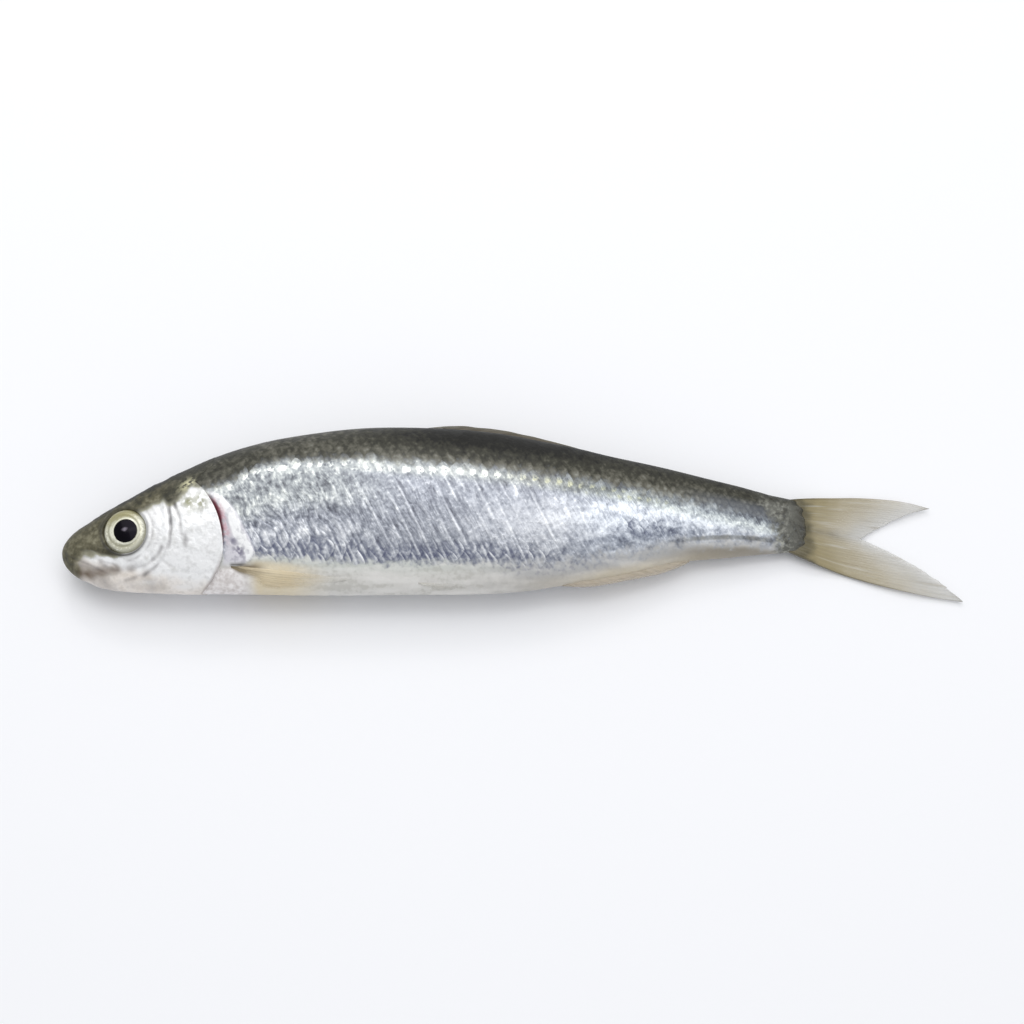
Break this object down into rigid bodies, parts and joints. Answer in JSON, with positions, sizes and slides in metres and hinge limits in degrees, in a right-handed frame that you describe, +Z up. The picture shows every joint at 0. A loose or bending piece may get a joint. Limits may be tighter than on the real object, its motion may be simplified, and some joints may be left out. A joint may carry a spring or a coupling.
{
  "type": "raw sardine",
  "caption": "Whole raw silver lake sardine lying on its flank, with an olive back, a large pale eye, gill cover, folded fins and a forked tail fin.",
  "frame": {"origin": "middle of the fish's bounding box, at the height of the surface that it lies on", "axes": "+X from the snout to the tail, +Y from the belly to the back, +Z up out of the left flank"},
  "size_m": [0.115, 0.0242, 0.0107],
  "materials": {
    "silver_skin": "wet silver fish skin, olive-grey on the back and cream-white on the belly, with overlapping scales",
    "fin_membrane": "thin translucent tan to grey fin membrane with fine rays",
    "wet_eye": "wet clear eye with a pale cream and silver iris and a black pupil"
  },
  "bodies": {
    "root": {"sardine": "silver_skin", "eye_left": "wet_eye", "eye_right": "wet_eye"}
  },
  "joints": []
}
